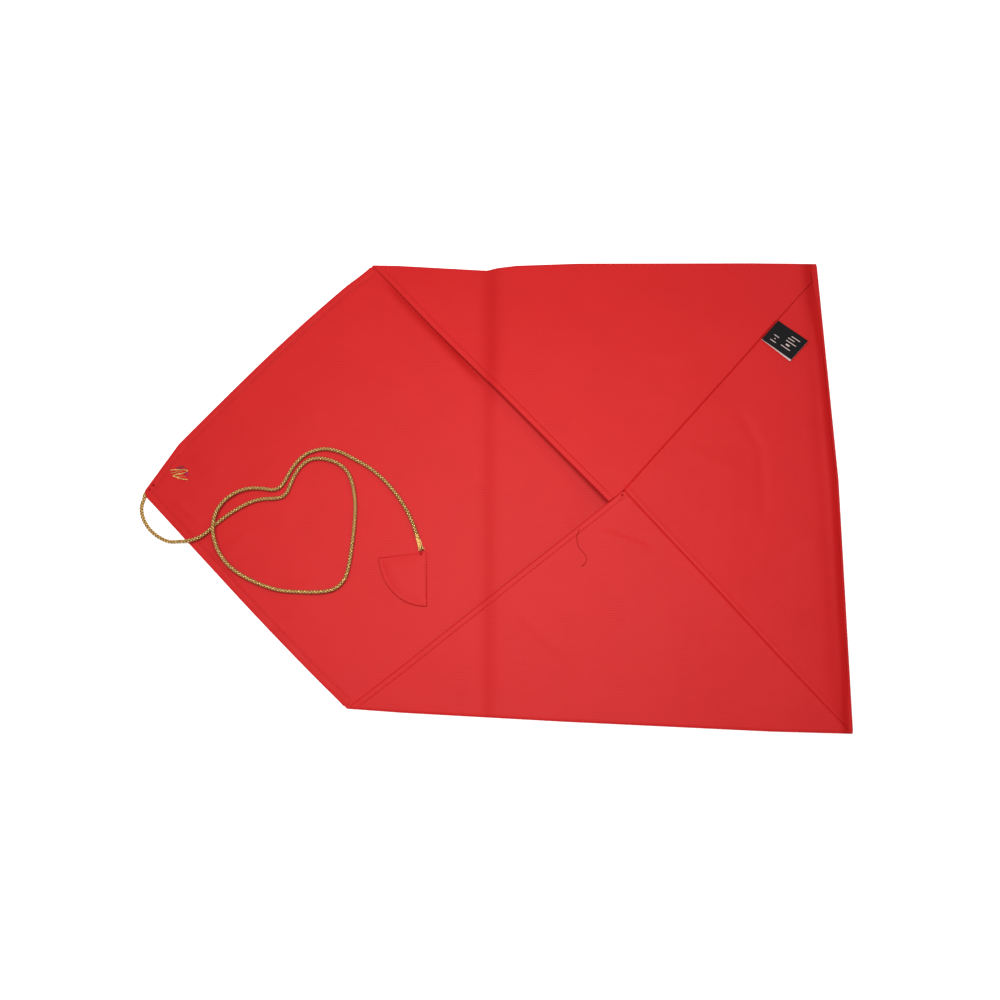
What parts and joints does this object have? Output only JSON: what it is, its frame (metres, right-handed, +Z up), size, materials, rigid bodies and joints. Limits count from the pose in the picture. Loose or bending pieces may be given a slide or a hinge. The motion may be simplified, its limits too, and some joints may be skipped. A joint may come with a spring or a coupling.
{
  "type": "cloth book wrap",
  "caption": "Red cloth envelope wrap with a sewn pocket, a folding closing flap, a gold tie cord ending in a quarter-round cloth tab, and a small ribbon label.",
  "frame": {"origin": "on the resting plane, under the middle of the cloth's outline without the cord", "axes": "+X from the closing flap's tip towards the side fold, +Y from the lower fold towards the upper fold, +Z up from the table through the front panels"},
  "size_m": [0.5094, 0.3504, 0.0106],
  "materials": {
    "red_cloth": "thin ribbed polyester cloth, soft sheen",
    "red_thread": "matt sewing thread",
    "gold_cord": "braided metallic gold yarn",
    "black_ribbon": "black satin ribbon",
    "pale_ribbon": "pale reverse of a satin ribbon"
  },
  "bodies": {
    "pocket": {"back_panel": "red_cloth", "upper_front_panel": "red_cloth", "lower_front_panel": "red_cloth", "side_front_panel": "red_cloth", "side_fold_roll": "red_cloth", "upper_mouth_hem": "red_cloth", "lower_mouth_hem": "red_cloth", "upper_mouth_stitching": "red_thread", "lower_mouth_stitching": "red_thread", "upper_seam_allowance": "red_cloth", "lower_seam_allowance": "red_cloth", "upper_seam_stitching": "red_thread", "lower_seam_stitching": "red_thread", "mouth_corner_tack": "red_thread", "loose_thread_tail": "red_thread", "label_stitching": "red_thread", "cord_over_pocket": "gold_cord"},
    "flap": {"closing_flap": "red_cloth", "flap_upper_hem": "red_cloth", "flap_lower_hem": "red_cloth", "flap_upper_stitching": "red_thread", "flap_lower_stitching": "red_thread", "cord_on_flap": "gold_cord", "cord_anchor_tack": "red_thread", "cord_end_tuft": "gold_cord"},
    "label": {"label_front_leaf": "black_ribbon", "label_back_leaf": "pale_ribbon"},
    "tab": {"cord_flared_end": "gold_cord", "tab_front_leaf": "red_cloth", "tab_back_leaf": "red_cloth", "tab_tack": "red_thread"}
  },
  "joints": [
    {"name": "flap_fold", "type": "hinge", "parent": "pocket", "child": "flap", "pos_m": [-0.0894, 0.00525, 0.0045], "axis": [0, 1, 0], "range_deg": [0, 175]},
    {"name": "label_fold", "type": "hinge", "parent": "pocket", "child": "label", "pos_m": [0.21068, 0.11456, 0.00549], "axis": [-0.6535, -0.7561, 0.0355], "range_deg": [0, 160]},
    {"name": "tab_swivel", "type": "hinge", "parent": "pocket", "child": "tab", "pos_m": [-0.0481, -0.03255, 0.0029], "axis": [0, 0, 1], "range_deg": [-25, 40]}
  ]
}
